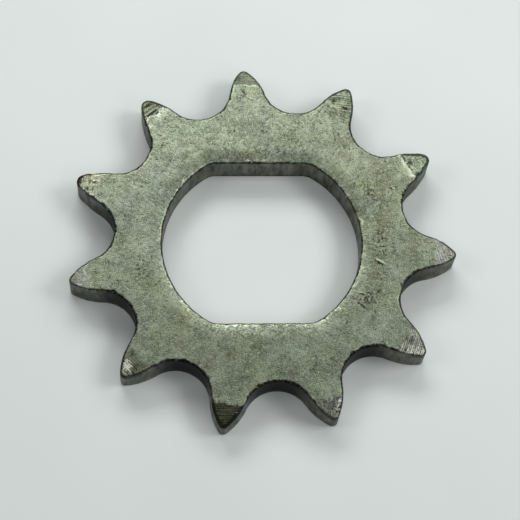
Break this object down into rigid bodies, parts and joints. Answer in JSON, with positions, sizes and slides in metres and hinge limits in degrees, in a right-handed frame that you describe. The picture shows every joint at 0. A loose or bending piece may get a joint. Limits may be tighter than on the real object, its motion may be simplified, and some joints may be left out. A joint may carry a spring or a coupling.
{
  "type": "chain sprocket",
  "caption": "Flat plate sprocket for half-inch roller chain, with a double-D bore, rolled edges on one face and tooth tips ground down by hand on that face.",
  "frame": {"origin": "on the bore axis, in the lower face that the sprocket lies on", "axes": "+Z along the bore axis, up through the face with the rolled edges and ground tips; X along the two bore flats; the tooth nearest +Y is turned 4.1 degrees from it, towards -X"},
  "size_m": [0.0479, 0.0479, 0.004],
  "materials": {
    "plate_steel": "matte grey-green coating over punched steel, with bare ground tips"
  },
  "bodies": {
    "root": {"sprocket": "plate_steel"}
  },
  "joints": []
}
